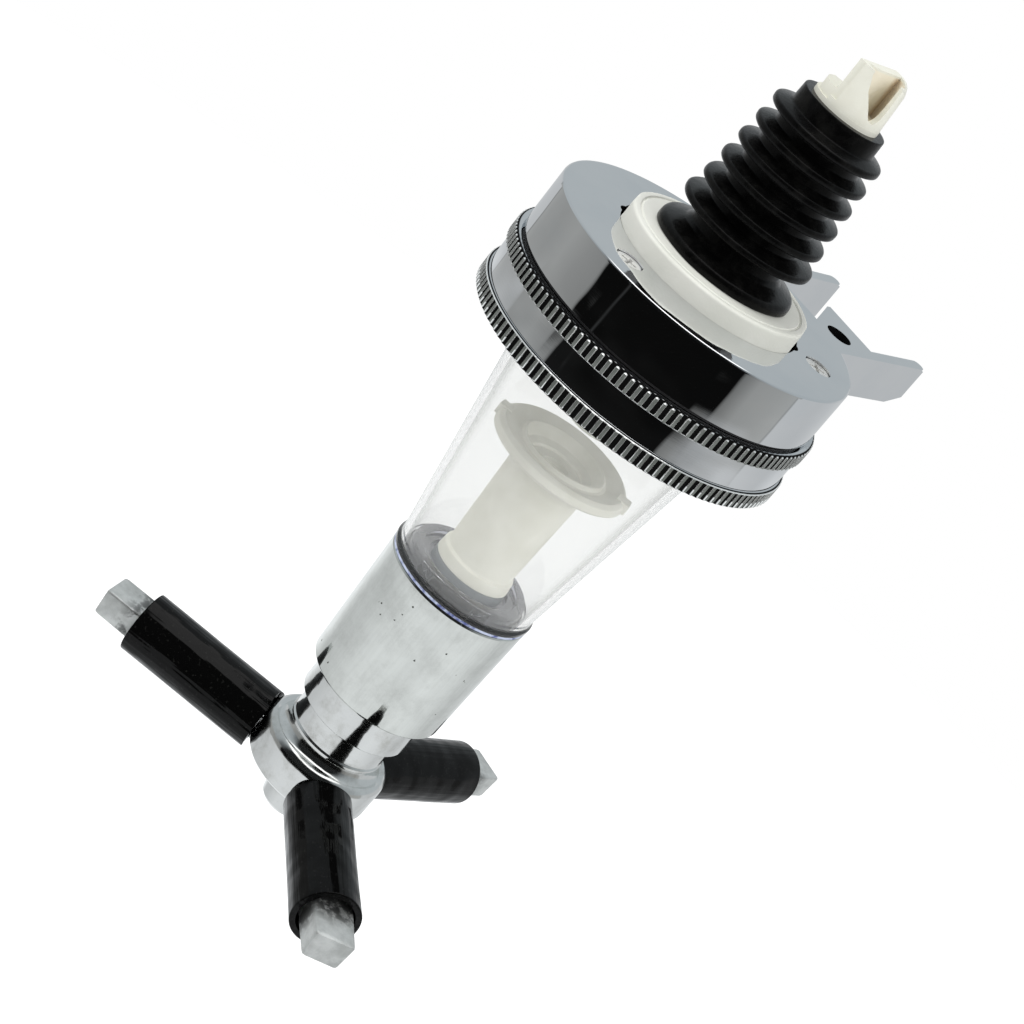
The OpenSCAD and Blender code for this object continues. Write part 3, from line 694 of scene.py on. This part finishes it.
def welded(name, pieces):
    """Joins pieces into one object."""
    build = bmesh.new()
    for piece in pieces:
        build.from_mesh(piece.data)
        bpy.data.objects.remove(piece)
    return dressed_mesh(name, build, 38)


def break_edges(piece, name, width):
    """A Bevel modifier that rounds the piece's sharp edges."""
    bevel = piece.modifiers.new(name, "BEVEL")
    bevel.width = width
    bevel.segments = 3
    bevel.limit_method = "ANGLE"
    bevel.angle_limit = math.radians(EDGE_ANGLE)
    return bevel


print("piece helpers ready")

# %% [markdown]
# ## Head and ring
#
# The head's CAD solid has the right shape: a disc, two prongs and a web. Its edges are
# plain, so a Bevel modifier breaks them by four tenths of a millimetre, as polishing does
# before plating. The ring is a moulding pressed into the head, with a rounded shoulder and
# a fine groove round its top. Beside its two keys its wall is cut flat.

# %% Head edges, screws and ring
for node, width in (("head_cap", 0.00042), ("head_screws", 0.00008)):
    polish = break_edges(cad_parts[node], "broken_edges", width)
    polish.harden_normals = True
    print("broke the edges of", node)

KEY_BEARING = 30
KEY_RADIUS = 18.32
RING_RADIUS = 18.9
INLET_HOLE = 4.62


def keyed(radius, height, bearing):
    """Two shallow flats on the ring's wall, where its keys are."""
    away = abs((math.degrees(bearing) - KEY_BEARING + 90) % 180 - 90)
    if height < -3 or radius < 18 or away > 15:
        return radius
    return min(radius, KEY_RADIUS / math.cos(math.radians(away)))


ring = lathe("white_ring", [
    (INLET_HOLE, -12.6), (21.84, -12.6), (21.84, -10.8), (RING_RADIUS, -10.8),
    (RING_RADIUS, -2.9), (RING_RADIUS, 0.2), (18.6, 3.5, 1.7), (17.3, 3.5, 0.12),
    (17.0, 3.12, 0.12), (16.7, 3.5, 0.12), (INLET_HOLE, 3.5)], steps=360, shape=keyed)
stands_for(ring, "seat_ring", "base", ivory)

# %% [markdown]
# ## Stopper
#
# Soft rubber fins grip the bottle's neck. They were moulded in a split die and then flexed
# many times, so no fin is quite flat: each one waves by a tenth of a millimetre. The widest
# fins sit nearest the ring.

# %% Rubber stopper
FINS, FIRST_FIN, FIN_PITCH = 6, 11.2, 4.22
FIN_REACH, FIN_NARROWING = 13.35, 0.165
STOPPER_BASE, STOPPER_TIP = 3.5, 36.8
CORE_BASE, CORE_TIP = 9.61, 8.30


def core(height):
    """Radius of the stopper's core at a height."""
    share = (height - STOPPER_BASE) / (STOPPER_TIP - STOPPER_BASE)
    return CORE_BASE + (CORE_TIP - CORE_BASE) * share


outline = [(INLET_HOLE, STOPPER_BASE), (13.9, STOPPER_BASE, 0.4), (13.9, 5.4, 1.1),
           (10.2, 6.6, 0.8), (core(8.0), 7.6, 0.8)]
for fin in range(FINS):
    z = FIRST_FIN + FIN_PITCH * fin
    r = FIN_REACH * (1 - FIN_NARROWING * (fin / (FINS - 1)) ** 0.6)
    outline += [(core(z - 1.45), z - 1.45, 0.35), (r, z - 0.97, 0.6), (r, z + 0.27, 0.6),
                (core(z + 1.15), z + 1.15, 0.5)]
outline += [(CORE_TIP, STOPPER_TIP, 0.25), (INLET_HOLE, STOPPER_TIP)]


def flexed(radius, height, bearing):
    """The fins' edges are a little uneven."""
    way = Vector((math.cos(bearing) * 2, math.sin(bearing) * 2, height * 0.6))
    return radius + 0.05 * noise.noise(way) * max(0, radius - 9)


stopper = lathe("ribbed_stopper", outline, steps=160, sharp=50, shape=flexed)
stands_for(stopper, "bottle_stopper", "base", rubber)

# %% [markdown]
# ## Inlet
#
# The inlet is a small moulding that stands in the stopper. Its mouth is a D: a round wall,
# closed by a flat wall behind, with a deep notch in front, and a low ledge on the open side.
# Such a shape is easiest to carve: blocks are drawn from above or from the side, then joined
# and cut by each other.

# %% Inlet carved from blocks
INLET_TURN = Matrix.Rotation(math.radians(30), 3, "Z")
NOTCH_TURN = Matrix.Rotation(math.radians(30 - 52), 3, "Z")


def block(low, high, bottom, top=None):
    """A block between two heights, drawn from above."""
    return mesh_piece("block", *capped([
        [INLET_TURN @ Vector((a, b, h)) for a, b in shape]
        for shape, h in ((bottom, low), (top or bottom, high))]))


def carved(name, start, steps):
    """Joins blocks to the first one and cuts others out of it, in order."""
    for work, tool in steps:
        cut = start.modifiers.new(work, "BOOLEAN")
        cut.operation = work
        cut.solver = "EXACT"
        cut.object = tool
    finished = start.evaluated_get(bpy.context.evaluated_depsgraph_get())
    mesh = bpy.data.meshes.new_from_object(finished)
    for piece in [start] + [tool for work, tool in steps]:
        bpy.data.objects.remove(piece)
    return placed(name, mesh)


# Outlines from the side: distance and height
notch = [(-4.15, 47.5), (-4.1, 45.6), (-3.2, 43.0), (-1.3, 40.4), (-0.7, 39.6), (-0.1, 39.0),
         (0.6, 38.75), (1.1, 38.85), (1.6, 39.4), (1.95, 40.2), (2.1, 41.4), (2.1, 44),
         (2.0, 47.5)]
round_top = [(-9, 30), (-9, 46.3), (4.1, 46.3), (4.9, 46.15), (5.5, 45.75), (5.9, 45.1),
             (7, 42.5), (9, 30)]
notch_tool = mesh_piece("notch_tool", *capped([
    [NOTCH_TURN @ Vector((out, u, h)) for u, h in notch] for out in (2.0, 9.0)]))
round_tool = mesh_piece("round_tool", *capped([
    [INLET_TURN @ Vector((a, side, h)) for a, h in round_top] for side in (-9, 9)]))
# Outlines from above
wall = bend((0, 0), 6.6, 235.6, 426, 60)
wall_top = bend((-0.25, 0), 6.25, 236.6, 426, 60)
hollow = bend((0, 0), 5.15, 256, 405, 50)
strip = bend((0, 0), 6.05, 222, 248.4, 10) + bend((0, 0), 9, 248.4, 222, 10)
disc = bend((0, 0), 6.6, 0, 354, 59)
ledge = [(-5.9, -2.4), (-6.0, 0.2), (-5.2, 2.6), (-3.4, 2.6), (-3.4, -5.0), (-4.9, -4.1)]
inlet = carved("white_inlet", block(36.8, 46.4, wall, wall_top), [
    ("INTERSECT", round_tool),
    ("DIFFERENCE", block(38.6, 50, strip)),
    ("UNION", block(36.8, 39.95, ledge)),
    ("UNION", block(36.8, 37.7, disc)),
    ("UNION", block(-6.0, 37.0, bend((0, 0), 4.6, 0, 354, 59))),
    ("DIFFERENCE", block(38.2, 50, hollow)),
    ("DIFFERENCE", notch_tool),
    ("DIFFERENCE", block(-7.0, 38.8, bend((0, 0), 3.2, 0, 352.5, 47)))])
inlet.data.shade_smooth()
inlet.data.set_sharp_from_angle(angle=math.radians(EDGE_ANGLE))
break_edges(inlet, "soft_edges", 0.00022)
stands_for(inlet, "inlet_spout", "base", cream)

# %% [markdown]
# ## Nut
#
# The nut is turned, then a wheel with straight teeth is pressed into it at both ends. Each
# band has 124 teeth with narrow flat tops. The ends of the bands are chamfered, and the
# chamfer is what draws the fine bright line along each band. The band between is a mirror.

# %% Knurled nut
TEETH, TOOTH_HEIGHT = 124, 0.35
TEETH_TURN = -0.24  # degrees
# Offset as a share of the pitch, and how far out the tooth is there
TOOTH = [(-0.46, 0.0), (-0.27, 0.15), (-0.15, 1.0), (0.0, 1.0), (0.15, 1.0), (0.27, 0.15)]
NUT_ROWS = [  # radius, height, how much of the teeth shows, and the radius that cuts them off
    (21.8, -24.0, 0, 99), (31.2, -24.0, 0, 99), (31.7, -23.9, 1, 31.8), (31.9, -23.7, 1, 32.1),
    (31.95, -23.5, 1, 32.3), (31.95, -22.3, 1, 32.3), (31.95, -20.78, 1, 32.3),
    (31.97, -20.68, 0.9, 32.3), (32.24, -20.6, 0.2, 32.3), (32.2, -20.5, 0, 99),
    (32.0, -20.36, 0, 99),
    (31.66, -20.32, 0, 99), (31.6, -20.28, 0, 99), (31.6, -19.5, 0, 99),
    (31.6, -17.6, 0, 99), (31.6, -15.6, 0, 99), (31.6, -14.76, 0, 99), (31.66, -14.74, 0, 99),
    (32.1, -14.72, 0, 99), (32.22, -14.62, 0.4, 32.3), (31.97, -14.5, 0.9, 32.3),
    (31.95, -14.4, 1, 32.3), (31.95, -13.0, 1, 32.3),
    (31.95, -11.95, 1, 32.3), (31.9, -11.72, 1, 32.08), (31.75, -11.56, 1, 31.9),
    (31.5, -11.52, 0, 99), (31.2, -11.5, 0, 99), (28.05, -11.5, 0, 99), (28.05, -22.6, 0, 99),
    (21.8, -22.6, 0, 99)]
rows = []
for radius, height, share, cut in NUT_ROWS:
    row = []
    for tooth in range(TEETH):
        for offset, rise in TOOTH:
            bearing = math.radians((tooth + offset) * 360 / TEETH + TEETH_TURN)
            r = min(radius + TOOTH_HEIGHT * rise * share, cut)
            row.append((r * math.cos(bearing), r * math.sin(bearing), height))
    rows.append(row)
nut = mesh_piece("knurled_nut", *woven(rows), sharp=28)
stands_for(nut, "lock_nut", "base", chrome)

# %% [markdown]
# ## Chamber, plug and joint ring
#
# The chamber is injection moulded in clear acrylic. It tapers, so that the die lets go, and
# its foot has a small bead. The plug in its floor is a clear grey moulding with a stepped
# top, and a blue-grey ring seals the joint under it.

# %% Clear chamber
chamber = lathe("clear_chamber", [
    (12.95, -73.0, 0.2), (15.1, -73.0, 0.15), (15.1, -72.3, 0.2), (14.6, -71.9, 0.5),
    (21.2, -24.0), (21.2, -22.6), (27.8, -22.6), (27.8, -20.8), (19.6, -20.8), (19.6, -22.6)],
    steps=720)
stands_for(chamber, "measuring_chamber", "base", acrylic)

plug = lathe("grey_plug", [
    (5.06, -77.0), (12.32, -77.0), (12.32, -70.2, 0.4), (10.2, -70.2, 0.15),
    (10.2, -71.0, 0.1), (8.6, -71.0, 0.1), (8.6, -71.8), (5.06, -71.8)])
stands_for(plug, "chamber_plug", "base", plug_plastic)

joint = lathe("joint_ring", [
    (12.52, -73.6), (15.0, -73.6, 0.12), (15.0, -73.0, 0.12), (12.52, -73.0)])
stands_for(joint, "joint_seal", "base", seal_plastic)

# %% [markdown]
# ## Bobbin
#
# The bobbin takes up the room that one measure must not fill, and its dished top shuts the
# inlet. It is a plain moulding with a soft rim, a raised lip inside the dish, two tabs that
# keep it centred, and a foot ring at the bottom of its tapered tube.

# %% Bobbin with its tabs
tube = lathe("bobbin_tube", [
    (5.02, -69.8), (7.75, -69.8, 0.2), (7.5, -67.5, 0.35), (6.9, -67.15, 0.3), (7.75, -46.96, 2.0),
    (8.7, -45.6, 1.2), (13.4, -43.66, 0.5), (14.3, -43.0, 0.5), (13.9, -41.75, 0.5),
    (13.0, -41.06, 0.35), (12.4, -41.28, 0.4), (9.6, -42.26, 0.4), (9.0, -42.1, 0.15),
    (8.85, -41.25, 0.2), (8.4, -41.22, 0.2), (7.9, -41.9, 0.4), (7.1, -43.3, 0.5),
    (5.7, -43.9, 0.2), (5.42, -45.4), (2.52, -45.4), (2.52, -69.6), (5.02, -69.6)])
TAB_LOW, TAB_HIGH = -43.1, -41.0
tab = soften([(12.0, -1.4), (14.7, -1.4, 0.3), (14.7, 1.4, 0.3), (12.0, 1.4)], 3)
tabs = []
for bearing in (30, 210):
    turn = Matrix.Rotation(math.radians(bearing), 4, "Z")
    rows = [[turn @ Vector((a, b, z)) for a, b in tab] for z in (TAB_LOW, TAB_HIGH - 0.15)]
    rows.append([turn @ Vector((a * 0.99 + 0.1, b * 0.9, TAB_HIGH)) for a, b in tab])
    tabs.append(mesh_piece("bobbin_tab", *capped(rows)))
bobbin = welded("bobbin", [tube] + tabs)
stands_for(bobbin, "displacer", "plunger", bobbin_white)

# %% [markdown]
# ## Valve body, hub and bars
#
# The valve body is a plated tube that narrows by a millimetre. Below it the hub's neck
# shows, then a waist, a flare and the round hub. The bars are cast with the hub: a bar is
# some eight millimetres wide, with soft edges and a blunt end that is knocked about.

# %% Valve body and hub
body = lathe("plated_body", [
    (11.56, -101.2), (13.55, -101.2, 0.1), (13.98, -100.75, 0.4), (14.95, -73.95, 0.3),
    (14.65, -73.6, 0.1), (12.38, -73.6), (12.38, -98.2), (11.56, -98.2)], steps=256)
stands_for(body, "valve_body", "base", body_chrome)

hub_turned = lathe("hub_turned", [
    (5.06, -125.0), (12.5, -125.0, 0.3), (13.1, -124.4, 0.6), (13.2, -118.6)]
    + bend((11.0, -118.4), 2.2, 8, 62, 8) + bend((12.1, -114.8), 2.3, 248, 180, 8)
    + [(10.1, -114.55, 0.12), (10.1, -113.95, 0.12), (9.8, -113.65, 0.1), (9.8, -108.55, 0.3),
       (11.5, -108.4, 0.25), (11.5, -98.45), (5.06, -98.45)], steps=256)

# %% Bars with soft edges and blunt ends
BAR_Z = -122.2
BAR_TILT = 2
BAR_ANGLE = 86.6
BARE_FROM = 43
# Distance from the axis, and the section's size there
STATIONS = [(9.0, 1.0), (14.0, 1.0), (30.0, 1.0), (43.0, 1.0), (49.6, 0.998), (50.2, 0.975),
            (50.42, 0.93)]
section = soften([(-3.0, -4.2, 0.55), (-3.0, 4.2, 0.55), (3.0, 3.8, 0.7), (3.0, -3.8, 0.7)], 4)


def along_bar(angle):
    """The place and direction of a bar, as a matrix in millimetres."""
    return (Matrix.Translation((0, 0, BAR_Z)) @ Matrix.Rotation(math.radians(angle), 4, "Z")
            @ Matrix.Rotation(math.radians(90 + BAR_TILT), 4, "Y"))


bars = []
for arm in range(3):
    way = along_bar(BAR_ANGLE + 120 * arm)
    rows = []
    for station, size in STATIONS:
        row = []
        for a, b in section:
            dent = 0.12 * noise.noise(Vector((a * 0.5, b * 0.5, station * 0.3 + 7 * arm)))
            grow = size + (dent / 4 - 0.012 if station > BARE_FROM else 0)
            row.append(way @ Vector((a * grow, b * grow, station)))
        rows.append(row)
    bars.append(mesh_piece("bar", *capped(rows)))
hub = welded("cast_hub", [hub_turned] + bars)
stands_for(hub, "arm_hub", "hub", hub_metal)

# %% [markdown]
# ## Sleeves
#
# Each bar wears a piece of thick vinyl tube, pushed on up to the hub, so that the glass is
# not chipped. The tube was cut with a blade, so its ends are barely rounded, and it is not
# perfectly round over the flat bar. Its inner end wraps round the hub.

# %% Sleeves
SLEEVE_BORE, SLEEVE_RADIUS = 5.25, 6.41
SLEEVE_FROM, SLEEVE_TO = 13.3, 42.47
HUB_WRAP, WRAP_REACH = 13.25, 4.2
TO_METRES, TO_MILLIMETRES = Matrix.Scale(MM, 4), Matrix.Scale(1 / MM, 4)

for arm, node in enumerate(("sleeve_rear", "sleeve_left", "sleeve_right")):
    def squeezed(radius, height, bearing, arm=arm):
        """The tube follows the bar inside it a little. The front one swells at its end."""
        way = Vector((math.cos(bearing), math.sin(bearing), height * 0.08 + 9 * arm))
        swell = 0.035 * noise.noise(way)
        if arm == 2 and height > 30:
            swell += 0.10 * ((height - 30) / 12) ** 2 * (0.6 + 0.4 * math.cos(bearing - 1.2))
        return radius * (1 - 0.004 + swell * 0.3)

    sleeve = lathe("sleeve_tube_" + node[7:], [
        (SLEEVE_BORE, SLEEVE_FROM), (SLEEVE_RADIUS, SLEEVE_FROM, 0.1), (SLEEVE_RADIUS, 20),
        (SLEEVE_RADIUS, 28), (SLEEVE_RADIUS, 35), (SLEEVE_RADIUS, SLEEVE_TO, 0.3),
        (SLEEVE_BORE, SLEEVE_TO)], steps=96, shape=squeezed)
    for corner in sleeve.data.vertices:
        if corner.co.z / MM < 15:
            off = min(abs(corner.co.y / MM), WRAP_REACH)
            corner.co.z += (math.sqrt(HUB_WRAP ** 2 - off ** 2) - SLEEVE_FROM) * MM
    sleeve.data.transform(TO_METRES @ along_bar(BAR_ANGLE + 120 * arm) @ TO_MILLIMETRES)
    stands_for(sleeve, node, "hub", vinyl)

# %% [markdown]
# ## Return spring
#
# A rigid spring would cut through its cup when the arms rise. This coil has the size of the
# CAD's, with few enough turns to close up by the stroke, but it stays in place and does not
# bend with the bodies.

# %% Coil with room for the stroke
WIRE, STROKE, RINGS, SIDES = 0.6, 10, 24, 10
low, high = (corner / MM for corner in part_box("return_spring"))
coil_radius = high.x - WIRE * math.cos(math.radians(30))
turns = int((high.z - low.z - STROKE) / (2 * WIRE)) - 2
rows = []
for step in range(turns * RINGS + 1):
    bearing = 2 * math.pi * step / RINGS
    height = low.z + WIRE + (high.z - low.z - 2 * WIRE) * step / (turns * RINGS)
    row = []
    for side in range(SIDES):
        slope = 2 * math.pi * side / SIDES
        radius = coil_radius + WIRE * math.cos(slope)
        row.append((radius * math.cos(bearing), radius * math.sin(bearing),
                    height + WIRE * math.sin(slope)))
    rows.append(row)
coil = mesh_piece("return_coil", *capped(rows))
coil.data.materials.append(steel)
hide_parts("return_spring")
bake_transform(coil)
print(coil.name, "has", turns, "turns and", len(coil.data.polygons), "faces")

# %% [markdown]
# ## CAD pieces that keep their shape
#
# What is left of the CAD model is right as it is: the head, the screws and the parts that
# are hidden in the valve. They only need their finishes.

# %% Dress the CAD pieces
DRESS = {
    "head_cap": chrome, "head_screws": screw_steel, "inlet_seat": ivory,
    "inlet_seal": bobbin_white, "head_gasket": seal_black, "chamber_gasket": seal_black,
    "outlet_seal": collar_grey, "carrier_ring": steel, "spring_washer": steel,
    "stem": steel, "retaining_clip": steel, "spring_cup": steel, "outlet_nozzle": hub_metal,
}
for node, material in DRESS.items():
    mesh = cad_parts[node].data
    mesh.materials.clear()
    mesh.materials.append(material)
print("dressed", len(DRESS), "CAD pieces")
